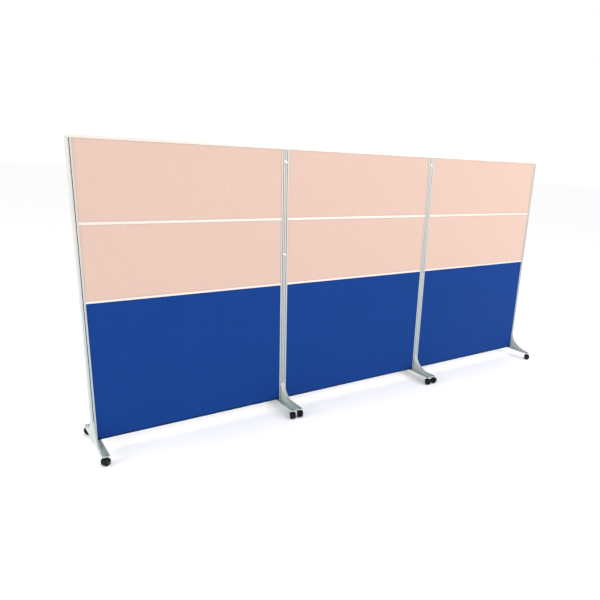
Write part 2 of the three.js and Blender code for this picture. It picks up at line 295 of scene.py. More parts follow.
def woven_fabric(name, thread, shade, sheen, shade_below=None):
    """Plain weave in the wall's plane: warp and weft ribs, slubs and a soft nap.

    Below the given height, the cloth is darkened with painted shade where it turns under the
    board."""
    n = Nodes(name)
    separate = n.add("ShaderNodeSeparateXYZ", {"Vector": n.place()})
    wobble = n.ramp(n.noise(n.place(), 60.0, 2.0), 0.0, 1.0, -1.6, 1.6)

    def ribs(axis, phase):
        angle = n.math("MULTIPLY", separate.outputs[axis], 2 * math.pi / WEAVE_PITCH)
        angle = n.math("ADD", n.math("ADD", angle, wobble), phase)
        return n.math("SINE", angle, 0.0)

    warp = ribs("X", 0.0)
    weft = ribs("Z", 0.9)
    weave = n.math("MULTIPLY", warp, weft)
    fine, long = 900, 14
    slubs_warp = n.noise(n.place((fine, fine, long)), 1.0, 2.0)
    slubs_weft = n.noise(n.place((long, fine, fine)), 1.0, 2.0)
    slubs = n.math("ADD", slubs_warp, slubs_weft)
    cloud = n.noise(n.place(), 2.2, 3.0)
    base = n.mix(n.ramp(weave, -1.0, 1.0), colour(*shade), colour(*thread))
    bright = colour(*(min(1.0, c * 1.10 + 0.01) for c in thread))
    base = n.mix(n.ramp(slubs, 1.0, 1.35, 0.0, 0.6), base, bright)
    base = n.mix(n.ramp(cloud, 0.4, 0.7, 0.0, 0.45), base, scaled(thread, 0.93))
    # painted shade: the cloth darkens below the given height
    if shade_below:
        base = n.mix(n.ramp(n.height(), shade_below, shade_below - HEM_SHADE_FADE, 0.0, 0.85), base, scaled(shade, 0.3))
    height = n.math("ADD", weave, n.ramp(slubs, 0.7, 1.4, -0.7, 0.7))
    n.put(
        Base_Color=base,
        Roughness=n.ramp(weave, -1.0, 1.0, 0.96, 0.86),
        Sheen_Weight=sheen,
        Sheen_Roughness=0.5,
        Specular_IOR_Level=0.15,
        Normal=n.bump(height, 0.5, 0.22 * MM),
    )
    return n.material


def moulded_nylon(name, tint, roughness):
    """Black moulded plastic with a fine spark texture and rubbed edges."""
    n = Nodes(name)
    where = n.place()
    grain = n.noise(where, 2200.0, 2.0)
    haze = n.noise(where, 45.0, 3.0)
    dusty = colour(*(c + 0.010 for c in tint))
    base = n.mix(n.ramp(haze, 0.50, 0.78, 0.0, 0.6), colour(*tint), dusty)
    rubbed = n.math("MULTIPLY", n.edge_wear(0.8 * MM), 0.4)
    base = n.mix(rubbed, base, colour(0.06, 0.06, 0.063))
    n.put(
        Base_Color=base,
        Roughness=n.ramp(haze, 0.3, 0.7, roughness, roughness + 0.16),
        Specular_IOR_Level=0.12,
        Normal=n.bump(grain, 0.3, 0.08 * MM),
    )
    return n.material


def hard_rubber(name):
    """Black rubber, patchily greyed by dust."""
    n = Nodes(name)
    dust = n.noise(n.place(), 160.0, 4.0)
    scuffs = n.noise(n.place((400, 60, 400)), 1.0, 3.0)
    base = n.mix(n.ramp(dust, 0.50, 0.76, 0.0, 0.6), colour(0.004, 0.004, 0.0045),
                 colour(0.016, 0.0155, 0.015))
    n.put(
        Base_Color=base,
        Roughness=n.ramp(dust, 0.3, 0.7, 0.62, 0.85),
        Specular_IOR_Level=0.12,
        Normal=n.bump(scuffs, 0.4, 0.12 * MM),
    )
    return n.material


def plated_steel(name, tint, roughness):
    """Plated fasteners and links, stained in patches and finely pitted."""
    n = Nodes(name)
    pits = n.noise(n.place(), 1400.0, 3.0)
    stain = n.noise(n.place(), 120.0, 3.0)
    base = n.mix(n.ramp(stain, 0.45, 0.7, 0.0, 0.6), colour(*tint), scaled(tint, 0.75))
    n.put(
        Base_Color=base,
        Metallic=0.85,
        Roughness=n.ramp(stain, 0.3, 0.7, roughness, roughness + 0.2),
        Normal=n.bump(pits, 0.2, 0.05 * MM),
    )
    return n.material


def studio_floor(name):
    """Nearly white and matt, with a faint cloudiness."""
    n = Nodes(name)
    cloud = n.noise(n.place(), 0.8, 3.0)
    base = n.mix(n.ramp(cloud, 0.3, 0.7), colour(0.96, 0.96, 0.96), colour(0.98, 0.98, 0.98))
    n.put(Base_Color=base, Roughness=0.9, Specular_IOR_Level=0.1)
    return n.material


# the second tint is the painted shade and reflection low on the uprights
UPRIGHT = brushed_aluminium("aluminium_upright", "z", (0.67, 0.645, 0.61), (0.50, 0.555, 0.58))
LENGTHWISE = brushed_aluminium("aluminium_lengthwise", "x", (0.84, 0.80, 0.74))
# the second tint is the painted shade on the faces that look up
CASTING = cast_silver("cast_silver", (0.54, 0.58, 0.54), (0.34, 0.42, 0.39))
# dark rubber of the groove strips, which are painted shade
SHADE_GASKET = hard_rubber("groove_shade_gasket")
PEACH = woven_fabric("peach_fabric", (0.695, 0.502, 0.424), (0.600, 0.420, 0.346), sheen=0.10)
BLUE = woven_fabric("blue_fabric", (0.0035, 0.048, 0.250), (0.002, 0.031, 0.180), sheen=0.02,
                    shade_below=HEM_SHADE_TOP)
NYLON = moulded_nylon("black_nylon", (0.004, 0.004, 0.005), 0.42)
HUB = moulded_nylon("hub_nylon", (0.018, 0.020, 0.024), 0.5)
# as on the casting, the second tint is painted shade on the faces that look up
PLUG = cast_silver("grey_plug", (0.60, 0.60, 0.58), (0.52, 0.53, 0.51))
RUBBER = hard_rubber("hard_rubber")
LINK_METAL = plated_steel("link_metal", (0.86, 0.86, 0.85), 0.28)
SCREW_METAL = plated_steel("screw_metal", (0.16, 0.16, 0.17), 0.35)


# ------------------------------------------------------------------ mesh helpers

def mesh_object(name, verts, faces, material, angle=35):
    """A piece whose edges stay sharp where faces meet at more than angle degrees."""
    mesh = bpy.data.meshes.new(name)
    mesh.from_pydata([tuple(v) for v in verts], [], faces)
    shell = bmesh.new()
    shell.from_mesh(mesh)
    bmesh.ops.remove_doubles(shell, verts=shell.verts, dist=1e-7)
    bmesh.ops.dissolve_degenerate(shell, edges=shell.edges, dist=1e-7)
    bmesh.ops.recalc_face_normals(shell, faces=shell.faces)
    shell.to_mesh(mesh)
    shell.free()
    mesh.materials.append(material)
    mesh.shade_smooth()
    mesh.set_sharp_from_angle(angle=math.radians(angle))
    obj = bpy.data.objects.new(name, mesh)
    bpy.context.scene.collection.objects.link(obj)
    return obj


def loft(name, sections, material, angle=35):
    """A closed solid through sections of the same number of points, capped at both ends."""
    count = len(sections[0])
    verts = [p for section in sections for p in section]
    faces = [list(range(count))]
    for s in range(len(sections) - 1):
        a, b = s * count, (s + 1) * count
        for i in range(count):
            j = (i + 1) % count
            faces.append([a + i, a + j, b + j, b + i])
    last = (len(sections) - 1) * count
    faces.append([last + i for i in range(count)])
    return mesh_object(name, verts, faces, material, angle)


def rounded(corners, steps=4):
    """Outline through (u, v, radius) corners, each with its own fillet."""
    points = []
    count = len(corners)
    for i, (u, v, radius) in enumerate(corners):
        here = Vector((u, v))
        before = Vector(corners[i - 1][:2]) - here
        after = Vector(corners[(i + 1) % count][:2]) - here
        if radius <= 0:
            points.append(here)
            continue
        half = before.angle(after) / 2
        reach = min(radius / math.tan(half), 0.49 * before.length, 0.49 * after.length)
        radius = reach * math.tan(half)
        centre = here + (before.normalized() + after.normalized()).normalized() * (
            radius / math.sin(half))
        start = here + before.normalized() * reach - centre
        end = here + after.normalized() * reach - centre
        sweep = start.angle_signed(end)
        for k in range(steps + 1):
            turned = start.copy()
            turned.rotate(Matrix.Rotation(-sweep * k / steps, 2))
            points.append(centre + turned)
    return points


def inset(points, amount):
    """Moves every point of an outline towards the middle by about amount."""
    middle = sum(points, Vector((0, 0))) / len(points)
    out = []
    for p in points:
        arm = p - middle
        out.append(middle + arm * max(0.0, 1 - amount / max(arm.length, 1e-9)))
    return out


def turned(name, profile, material, segments):
    """A solid turned about the Z axis through (radius, height) points."""
    verts, faces = [], []
    count = len(profile)
    for s in range(segments):
        a = 2 * math.pi * s / segments
        verts += [(r * math.cos(a), r * math.sin(a), z) for r, z in profile]
    for s in range(segments):
        here, there = s * count, ((s + 1) % segments) * count
        for i in range(count):
            j = (i + 1) % count
            faces.append([here + i, here + j, there + j, there + i])
    return mesh_object(name, verts, faces, material)


def boolean(target, tool, operation):
    """Joins or cuts target by tool, applies the result and removes tool."""
    modifier = target.modifiers.new(operation.lower(), "BOOLEAN")
    modifier.operation = operation
    modifier.object = tool
    modifier.solver = "EXACT"
    graph = bpy.context.evaluated_depsgraph_get()
    mesh = bpy.data.meshes.new_from_object(target.evaluated_get(graph))
    target.modifiers.clear()
    target.data = mesh
    bpy.data.objects.remove(tool)


def copies(source, name):
    """Another object with the same mesh."""
    obj = bpy.data.objects.new(name, source.data)
    bpy.context.scene.collection.objects.link(obj)
    return obj


def join(name, objects):
    """One object holding the meshes of several, with their places applied."""
    verts, faces, slots, materials = [], [], [], []
    for obj in objects:
        start = len(verts)
        verts += [obj.matrix_world @ v.co for v in obj.data.vertices]
        material = obj.data.materials[0]
        if material not in materials:
            materials.append(material)
        for face in obj.data.polygons:
            faces.append([start + i for i in face.vertices])
            slots.append(materials.index(material))
    joined = mesh_object(name, verts, faces, materials[0])
    for material in materials[1:]:
        joined.data.materials.append(material)
    for face, slot in zip(joined.data.polygons, slots):
        face.material_index = slot
    for obj in objects:
        bpy.data.objects.remove(obj)
    return joined


def keep(obj, body, node):
    """Makes obj stand for a CAD node on its body."""
    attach(obj, body)
    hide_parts(node)


def smooth_step(t):
    """Eases from 0 to 1 as t goes from 0 to 1."""
    t = min(max(t, 0.0), 1.0)
    return t * t * (3 - 2 * t)


# ------------------------------------------------------------------ frame members

def stile_outline(width, depth, channel):
    """Plan of a stile: (distance in from the end face, y), with lip, groove and flange."""
    d, w, c = depth / 2, width, channel / 2
    lip, groove, deep = STILE_LIP, STILE_LIP + STILE_GROOVE, STILE_GROOVE_DEPTH
    floor = width - CHANNEL_DEPTH
    edge, inner, flange = 0.7 * MM, 0.25 * MM, 1.0 * MM
    return rounded([
        (0, -d, FRAME_ROUNDING), (lip, -d, edge), (lip, deep - d, inner),
        (groove, deep - d, inner), (groove, -d, edge), (w, -d, flange), (w, -c, inner),
        (floor, -c, 0), (floor, c, 0), (w, c, inner), (w, d, flange), (groove, d, edge),
        (groove, d - deep, inner), (lip, d - deep, inner), (lip, d, edge),
        (0, d, FRAME_ROUNDING),
    ])


def add_stile(panel, side):
    node = f"panel_{panel}_{side}_stile"
    low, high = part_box(node)
    outline = stile_outline(STILE_WIDTH, FRAME_DEPTH, CHANNEL)
    inward = 1 if side == "left" else -1
    face = PANEL_EDGES[panel][side]
    sections = []
    ease = 0.35 * MM
    for z, shrink in ((low.z, ease), (low.z + ease, 0), (high.z - ease, 0), (high.z, ease)):
        points = inset(outline, shrink)
        sections.append([(face + inward * p.x, p.y, z) for p in points])
    keep(loft(f"{node}_extrusion", sections, UPRIGHT, 25), WALL, node)


def rail_outline(height, depth, channel, deep_below, deep_above):
    """Section of a rail: (y, z), with board channels below and above its web."""
    d, h, c = depth / 2, height / 2, channel / 2
    outer, edge = RAIL_ROUNDING, 0.3 * MM
    below = [(-d, -h, outer), (-c, -h, edge), (-c, deep_below - h, 0),
             (c, deep_below - h, 0), (c, -h, edge), (d, -h, outer)]
    above = [(d, h, outer), (c, h, edge), (c, h - deep_above, 0),
             (-c, h - deep_above, 0), (-c, h, edge), (-d, h, outer)]
    if deep_above == 0:
        above = [(d, h, FRAME_ROUNDING), (-d, h, FRAME_ROUNDING)]
    return rounded(below + above)


def add_shade_gaskets(panel, side):
    """Dark rubber strips in the stile's front and rear grooves, put there as painted shade of the
    grooves.
    """
    node = f"panel_{panel}_{side}_stile"
    low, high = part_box(node)
    inward = 1 if side == "left" else -1
    middle = PANEL_EDGES[panel][side] + inward * (STILE_LIP + STILE_GROOVE / 2)
    half = STILE_GROOVE / 2 - SHADE_GASKET_PLAY
    floor = FRAME_DEPTH / 2 - STILE_GROOVE_DEPTH + SHADE_GASKET_PLAY
    crest = floor + SHADE_GASKET_HEIGHT
    shoulder, top = crest - SHADE_GASKET_SHOULDER, SHADE_GASKET_CREST_SHARE * half
    section = rounded([
        (-half, floor, 0), (half, floor, 0), (half, shoulder, SHADE_GASKET_ROUNDING),
        (top, crest, SHADE_GASKET_ROUNDING), (-top, crest, SHADE_GASKET_ROUNDING),
        (-half, shoulder, SHADE_GASKET_ROUNDING),
    ], 2)
    ends = (low.z + SHADE_GASKET_END_GAP, high.z - SHADE_GASKET_END_GAP)
    strips = []
    for sign in (-1, 1):
        strips.append(loft("strip", [[(middle + p.x, sign * p.y, z) for p in section]
                                     for z in ends], SHADE_GASKET))
    shade_gaskets = join(f"{node}_gaskets", strips)
    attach(shade_gaskets, WALL)


def add_top_rail_plugs(panel):
    """Moulded plugs that close the top rail's channel at both end faces."""
    node = f"panel_{panel}_top_rail"
    low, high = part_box(node)
    half = CHANNEL / 2 - PLUG_PLAY
    floor, roof = low.z + PLUG_SETBACK, low.z + TOP_CHANNEL_DEPTH - PLUG_PLAY
    section = rounded([(-half, floor, PLUG_ROUNDING), (half, floor, PLUG_ROUNDING),
                       (half, roof, PLUG_ROUNDING), (-half, roof, PLUG_ROUNDING)], 3)
    steps = [(PLUG_SETBACK, inset(section, PLUG_EASE)), (PLUG_SETBACK + PLUG_EASE, section),
             (PLUG_LENGTH, section)]
    ends = []
    for face, inward in ((low.x, 1), (high.x, -1)):
        ends.append(loft("plug", [[(face + inward * x, p.x, p.y) for p in outline]
                                  for x, outline in steps], PLUG))
    plugs = join(f"{node}_plugs", ends)
    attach(plugs, WALL)


def add_rail(panel, kind):
    node = f"panel_{panel}_{kind}_rail"
    low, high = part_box(node)
    height = high.z - low.z
    if kind == "top":
        outline = rail_outline(height, FRAME_DEPTH, CHANNEL, TOP_CHANNEL_DEPTH, 0)
    else:
        reach = (height - RAIL_WEB) / 2
        outline = rail_outline(height, FRAME_DEPTH, CHANNEL, reach, reach)
    middle = (low.z + high.z) / 2
    ease = 0.4 * MM
    sections = []
    for x, shrink in ((low.x, ease), (low.x + ease, 0), (high.x - ease, 0), (high.x, ease)):
        sections.append([(x, p.x, middle + p.y) for p in inset(outline, shrink)])
    keep(loft(f"{node}_extrusion", sections, LENGTHWISE, 25), WALL, node)


# ------------------------------------------------------------------ fabric boards

def stations(start, end, fine=(0, 1, 2, 3.5, 5.5, 8, 12, 18, 28, 45), step=0.06):
    """Places along a side, close together near both ends."""
    near = [start + f * MM for f in fine]
    far = [end - f * MM for f in reversed(fine)]
    count = max(2, round((far[0] - near[-1]) / step))
    between = [near[-1] + (far[0] - near[-1]) * i / count for i in range(1, count)]
    return near + between + far


def roll(distance):
    """How far the fabric stands off at this distance from the frame's edge, from 0 to 1."""
    if distance <= 0:
        return 0.0
    settled = 2.5
    return 1 - math.exp(-distance / (BOARD_ROLL / settled))


def add_board(panel, kind, material, seen_low, seen_high):
    """A board whose fabric is drawn over its faces and tucked into the frame's channels."""
    node = f"panel_{panel}_{kind}_board"
    low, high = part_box(node)
    half = (high.y - low.y) / 2
    seen_left = PANEL_EDGES[panel]["left"] + STILE_WIDTH
    seen_right = PANEL_EDGES[panel]["right"] - STILE_WIDTH
    hemmed = kind == "lower"
    heights = stations(low.z, high.z)
    if hemmed:
        heights = [z for z in heights if z >= low.z + HEM_RADIUS]

    def face(x, z, outward):
        stand = roll(min(x - seen_left, seen_right - x))
        above = seen_high - z
        below = z - seen_low
        stand *= roll(above) if hemmed else roll(min(above, below))
        # the panel and outward terms give every face its own pattern
        wave = noise.noise(Vector((x * BROAD_WAVES + panel * 9, z * BROAD_WAVES, outward * 3.0)))
        wave += FINE_WAVE_SHARE * noise.noise(
            Vector((x * FINE_WAVES, z * FINE_WAVES, outward * 7.0 + panel)))
        return half - BOARD_SEAT + BOARD_CROWN * stand + BOARD_WAVE * wave * stand

    bar_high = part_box(f"panel_{panel}_bottom_rail")[1]
    slot_half = bar_high.y + SLOT_PLAY
    slot_top = bar_high.z + SLOT_PLAY
    sections = []
    for x in stations(low.x, high.x):
        front = [(x, -face(x, z, -1), z) for z in reversed(heights)]
        rear = [(x, face(x, z, 1), z) for z in heights]
        under = []
        if hemmed:
            corner = low.z + HEM_RADIUS
            for sign in (-1, 1):
                reach = face(x, corner, sign)
                arc = []
                for k in range(1, HEM_STEPS):
                    a = math.pi / 2 * k / HEM_STEPS
                    y = reach - HEM_RADIUS * (1 - math.cos(a))
                    arc.append((x, sign * y, corner - HEM_RADIUS * math.sin(a)))
                arc.append((x, sign * (reach - HEM_RADIUS), low.z))
                arc.append((x, sign * slot_half, low.z + SLOT_LIP))
                arc.append((x, sign * slot_half, slot_top))
                under += arc if sign < 0 else list(reversed(arc))
        sections.append(front + under + rear)
    keep(loft(f"{node}_fabric", sections, material, 40), WALL, node)


# ------------------------------------------------------------------ feet

def rib_height(reach, root, tip):
    """Height of the rib above the plate's underside at this distance from the wall's middle."""
    if reach <= root:
        return RIB_HEIGHT
    if reach >= tip:
        fade = smooth_step((reach - tip) / RIB_TIP_FADE)
        return RIB_TIP_HEIGHT + (PLATE_THICKNESS - RIB_TIP_HEIGHT) * fade
    # the hollow top edge is a curve with one control point: find where it passes over reach
    control_reach, share = RIB_CONTROL
    halvings = 30
    low, high = 0.0, 1.0
    for _ in range(halvings):
        t = (low + high) / 2
        y = (1 - t) ** 2 * root + 2 * t * (1 - t) * (root + control_reach) + t * t * tip
        if y < reach:
            low = t
        else:
            high = t
    z = (1 - t) ** 2 * RIB_HEIGHT + 2 * t * (1 - t) * RIB_HEIGHT * share
    return z + t * t * RIB_TIP_HEIGHT


def foot_section(reach, height, half_length, width):
    """Outline of the casting at one place along it: (distance in, height)."""
    over = reach - (half_length - TIP_RADIUS)
    cut = TIP_RADIUS - math.sqrt(max(TIP_RADIUS ** 2 - over ** 2, 0)) if over > 0 else 0
    outer_cut = cut * 0.35
    # the rib never quite vanishes, so that every outline has the same number of points
    above = max(height - PLATE_THICKNESS, 0.02 * MM)
    top = min(3.5 * MM, above * 0.45)
    fillet = min(FILLET, above * 0.5)
    edge, underside = 1.6 * MM, 1.0 * MM
    right = width - cut
    return rounded([
        (outer_cut, 0, underside), (outer_cut, PLATE_THICKNESS + above, top),
        (RIB_WIDTH, PLATE_THICKNESS + above, top), (RIB_WIDTH, PLATE_THICKNESS, fillet),
        (right, PLATE_THICKNESS, edge), (right, 0, underside),
    ], 5)


def add_foot(panel, side):
    node = f"panel_{panel}_{side}_foot"
    low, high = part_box(node)
    half_length = (high.y - low.y) / 2
    width = high.x - low.x
    inward = 1 if side == "left" else -1
    face = low.x if side == "left" else high.x
    root = FRAME_DEPTH / 2 + RIB_CLEARANCE
    tip = half_length - RIB_TIP_INSET
    # the stations crowd together near the root, where the curve is steep, and near the tip
    reaches = [root + (tip - root) * (i / RIB_STATIONS) ** 1.25 for i in range(RIB_STATIONS + 1)]
    reaches += [tip + (half_length - tip) * math.sin(math.pi / 2 * i / TIP_STATIONS)
                for i in range(1, TIP_STATIONS + 1)]
    ease = 0.8 * MM
    half = []
    for reach in reaches:
        height = rib_height(reach, root, tip)
        outline = foot_section(reach, height, half_length, width)
        if half_length - reach < ease:
            outline = inset(outline, ease - (half_length - reach))
        half.append((reach, outline))
    middle = foot_section(root, PLATE_THICKNESS, half_length, width)
    order = [(-r, o) for r, o in reversed(half)] + [(-root, middle), (root, middle)] + half
    sections = [[(face + inward * p.x, y, low.z + p.y) for p in o] for y, o in order]
    keep(loft(f"{node}_casting", sections, CASTING, 30), WALL, node)
    add_foot_fasteners(node, face, inward, low.z + PLATE_THICKNESS, half_length)


def hexagon():
    """Six corners at a distance of 1."""
    return [Vector((math.cos(math.pi / 3 * i), math.sin(math.pi / 3 * i))) for i in range(6)]


def screw_head():
    """Pan-head screw with a hexagonal socket."""
    radius, rise = 4.2 * MM, 1.5 * MM
    profile = [(0, 0), (radius, 0), (radius, rise * 0.35), (radius * 0.86, rise * 0.8),
               (radius * 0.62, rise), (0, rise)]
    head = turned("screw_head", profile, SCREW_METAL, 28)
    reach = radius * 0.42
    sections = [[(p.x * reach, p.y * reach, z) for p in hexagon()]
                for z in (rise * 0.3, rise * 1.5)]
    boolean(head, loft("socket", sections, SCREW_METAL), "DIFFERENCE")
    return head


def stem_nut():
    """Washer and low domed nut on the end of a caster's stem."""
    radius, rise, washer_top = 6.0 * MM, 2.6 * MM, 1.0 * MM
    washer = [(0, 0), (radius, 0), (radius, 0.8 * MM), (radius * 0.8, washer_top),
              (0, washer_top)]
    nut = turned("stem_nut", washer, SCREW_METAL, 32)
    r = radius * 0.72
    sections = [[(p.x * s, p.y * s, z) for p in hexagon()]
                for s, z in ((r, washer_top / 2), (r, rise * 0.75), (r * 0.78, rise))]
    boolean(nut, loft("flats", sections, SCREW_METAL), "UNION")
    return nut


def add_foot_fasteners(node, face, inward, top, half_length):
    """Screw heads beside the ribs and stem nuts near the tips, on a foot's plate."""
    pieces = []
    beside_rib = face + inward * SCREW_FROM_END_FACE
    stem_x = face + inward * STEM_FROM_END_FACE
    stem_reach = half_length - CASTER_INSET
    sunk = 0.05 * MM
    for sign in (-1, 1):
        for k, reach in enumerate(SCREW_REACHES):
            head = copies(SCREW, f"{node}_screw_{k}")
            head.matrix_world = Matrix.Translation((beside_rib, sign * reach, top - sunk))
            head.matrix_world @= Matrix.Rotation(0.7 * k + sign, 4, "Z")
            pieces.append(head)
        nut = copies(NUT, f"{node}_nut")
        nut.matrix_world = Matrix.Translation((stem_x, sign * stem_reach, top - sunk))
        pieces.append(nut)
    bpy.context.view_layer.update()
    fasteners = join(f"{node}_fasteners", pieces)
    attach(fasteners, WALL)


# ------------------------------------------------------------------ casters

def disc(radius, segments):
    """Circle about the axle in (x, z)."""
    centre = Vector((TRAIL, WHEEL_RADIUS))
    return [centre + radius * Vector((math.cos(a), math.sin(a)))
            for a in (2 * math.pi * k / segments for k in range(segments))]


def prism(name, outline, ends):
    """An (x, z) outline drawn out along Y from one end to the other."""
    return loft(name, [[(p.x, y, p.y) for p in outline] for y in ends], NYLON)


def hood_plan():
    """Upright prism of the hood's plan, rounded at its four corners."""
    x, y, r = HOOD_RADIUS, HOOD_WIDTH / 2, HOOD_CORNER
    plan = rounded([(TRAIL - x, -y, r), (TRAIL + x, -y, r), (TRAIL + x, y, r),
                    (TRAIL - x, y, r)], 10)
    below, above = -1 * MM, 60 * MM
    return loft("plan", [[(p.x, p.y, z) for p in plan] for z in (below, above)], NYLON)


def rim_bevel(obj, width, angle, sharp):
    """Rounds the edges of obj over the first angle, then marks those over the second as sharp."""
    bevel = obj.modifiers.new("rim", "BEVEL")
    bevel.width = width
    bevel.segments = 2
    bevel.limit_method = "ANGLE"
    bevel.angle_limit = math.radians(angle)
    graph = bpy.context.evaluated_depsgraph_get()
    obj.data = bpy.data.meshes.new_from_object(obj.evaluated_get(graph))
    obj.modifiers.clear()
    obj.data.shade_smooth()
    obj.data.set_sharp_from_angle(angle=math.radians(sharp))


def make_hood(top, plate_top):
    """Hood, crown and stem of a caster, pivot on the Z axis, wheels trailing towards +X."""
    centre = Vector((TRAIL, WHEEL_RADIUS))
    drop = math.asin(HOOD_DROP / HOOD_RADIUS)
    arc = []
    for k in range(HOOD_STEPS + 1):
        a = -drop + (math.pi + 2 * drop) * k / HOOD_STEPS
        arc.append(centre + HOOD_RADIUS * Vector((math.cos(a), math.sin(a))))
    hood = prism("caster_hood", arc, (-HOOD_WIDTH / 2, HOOD_WIDTH / 2))
    boolean(hood, hood_plan(), "INTERSECT")
    for sign in (-1, 1):
        ends = (sign * HOUSING_WIDTH / 2, sign * HOOD_WIDTH)
        boolean(hood, prism("pocket", disc(POCKET_RADIUS, 72), ends), "DIFFERENCE")
    bore = prism("bore", disc(BORE_RADIUS, 32), (-HOUSING_WIDTH, HOUSING_WIDTH))
    boolean(hood, bore, "DIFFERENCE")
    low = WHEEL_RADIUS + POCKET_RADIUS - JOIN_OVERLAP
    crown = [(0, low), (CROWN_RADIUS, low), (CROWN_RADIUS, top - CROWN_EASE),
             (CROWN_RADIUS - CROWN_EASE, top), (0, top)]
    boolean(hood, turned("crown", crown, NYLON, 48), "UNION")
    rim_bevel(hood, 0.45 * MM, 40, 30)
    stem = turned("stem", [(0, top - JOIN_OVERLAP), (STEM_RADIUS, top - JOIN_OVERLAP),
                           (STEM_RADIUS, plate_top), (0, plate_top)], SCREW_METAL, 28)
    return join("caster_hood", [hood, stem])


def make_wheels():
    """Twin wheels on one axle, turned about Y: treads, dished hubs and axle caps."""
    r, inner, outer = WHEEL_RADIUS, WHEEL_INNER, WHEEL_INNER + WHEEL_WIDTH
    seam = r - 4.5 * MM
    tread = [
        (seam, inner + 0.2 * MM), (r - 0.6 * MM, inner + 0.2 * MM), (r, inner + 0.9 * MM),
        (r, outer - 2.4 * MM), (r - 0.5 * MM, outer - 1.1 * MM),
        (r - 1.8 * MM, outer - 0.1 * MM), (r - 2.6 * MM, outer), (seam + 0.5 * MM, outer),
        (seam, outer - 0.5 * MM),
    ]
    dish = outer - 2.6 * MM
    hub_bore, axle_radius, axle_end = 2.8 * MM, 3 * MM, outer - 0.9 * MM
    hub = [
        (hub_bore, inner), (seam, inner), (seam, outer - 0.5 * MM),
        (seam - 0.9 * MM, outer - 0.4 * MM), (seam - 1.7 * MM, outer - 1.1 * MM),
        (seam - 2.6 * MM, dish), (7.2 * MM, dish), (6.2 * MM, outer - 1.2 * MM),
        (5.4 * MM, outer - 0.5 * MM), (3.4 * MM, outer - 0.4 * MM), (hub_bore, axle_end),
    ]
    axle = [(0, -axle_end), (axle_radius, -axle_end), (axle_radius, axle_end), (0, axle_end)]
    parts = []
    for sign in (-1, 1):
        for name, profile, material in (("tread", tread, RUBBER), ("hub", hub, HUB)):
            parts.append(turned(name, [(a, sign * b) for a, b in profile], material, 72))
    for sign in (-1, 1):
        for k in range(HUB_SPOKES):
            parts.append(hub_spoke(sign, dish, seam - 2.4 * MM, k))
    parts.append(turned("axle", axle, SCREW_METAL, 28))
    wheels = join("caster_wheels", parts)
    wheels.data.transform(Matrix.Rotation(math.pi / 2, 4, "X"))
    return wheels


def hub_spoke(sign, dish, reach, k):
    """Low radial rib on the outer face of a hub."""
    half, low, high = 0.9 * MM, dish - 0.6 * MM, dish + 0.8 * MM
    inner, shoulder, crest_share = 6.4 * MM, 0.3 * MM, 0.6
    plan = [(inner, -half), (reach, -half), (reach, half), (inner, half)]
    sections = [[(x, y * share, sign * z) for x, y in plan]
                for z, share in ((low, 1.0), (high - shoulder, 1.0), (high, crest_share))]
    spoke = loft("spoke", sections, HUB)
    spoke.data.transform(Matrix.Rotation(2 * math.pi / HUB_SPOKES * k, 4, "Z"))
    return spoke


def add_caster(panel, side, end):
    """Sets a hood and its wheels on their joints, at the heading the frame gives them."""
    name = f"caster_{panel}_{side}_{end}"
    swivel = next(j for j in frame["joints"] if j["name"] == f"{name}_swivel")
    spin = next(j for j in frame["joints"] if j["name"] == f"{name}_spin")
    pivot = Vector(swivel["pos_m"])
    axle = Vector(spin["pos_m"])
    heading = math.atan2(axle.y - pivot.y, axle.x - pivot.x)
    turn = Matrix.Rotation(heading, 4, "Z")
    hood = copies(HOOD_MESH, f"{name}_hood_shell")
    hood.matrix_world = Matrix.Translation((pivot.x, pivot.y, 0)) @ turn
    wheel = copies(WHEEL_MESH, f"{name}_wheel_tyre")
    wheel.matrix_world = Matrix.Translation(axle) @ turn
    bpy.context.view_layer.update()
    keep(hood, name, f"{name}_hood")
    keep(wheel, f"{name}_wheel_set", f"{name}_wheel")


# ------------------------------------------------------------------ hook links

def make_link():
    """Stamped hook link, its pin on the Y axis and its arm along +X."""
    reach = math.hypot(LINK_RUN, LINK_DROP)
    r, mouth = LINK_WIDTH / 2, LINK_MOUTH
    outline = []
    for k in range(LINK_END_STEPS + 1):
        a = math.pi / 2 + math.pi * k / LINK_END_STEPS
        outline.append(Vector((r * math.cos(a), r * math.sin(a))))
    outline.append(Vector((reach - mouth - 1.5 * MM, -r)))
    outline.append(Vector((reach - mouth - 1.4 * MM, -2.5 * MM)))
    outline.append(Vector((reach - mouth, -0.2 * MM)))
    mouth_steps = 12
    for k in range(mouth_steps + 1):
        a = math.pi - math.pi * k / mouth_steps
        outline.append(Vector((reach + mouth * math.cos(a), mouth * math.sin(a))))
    start = -math.acos(mouth / r)
    for k in range(LINK_END_STEPS + 1):
        a = start + (math.pi / 2 - start) * k / LINK_END_STEPS
        outline.append(Vector((reach + r * math.cos(a), r * math.sin(a))))
    sections = [[(p.x, y, p.y) for p in outline]
                for y in (-LINK_THICKNESS / 2, LINK_THICKNESS / 2)]
    link = loft("hook_link", sections, LINK_METAL)
    rivet = [(0, 0), (3.6 * MM, 0), (3.6 * MM, 0.4 * MM), (2.6 * MM, 1.3 * MM),
             (1.2 * MM, 1.7 * MM), (0, 1.8 * MM)]
    head = turned("rivet", rivet, LINK_METAL, 28)
    head.matrix_world = Matrix.Translation((0, 0.2 * MM - LINK_THICKNESS / 2, 0)) @ \
        Matrix.Rotation(math.pi / 2, 4, "X")
    bpy.context.view_layer.update()
    boolean(link, head, "UNION")
    rim_bevel(link, 0.35 * MM, 50, 40)
    return link


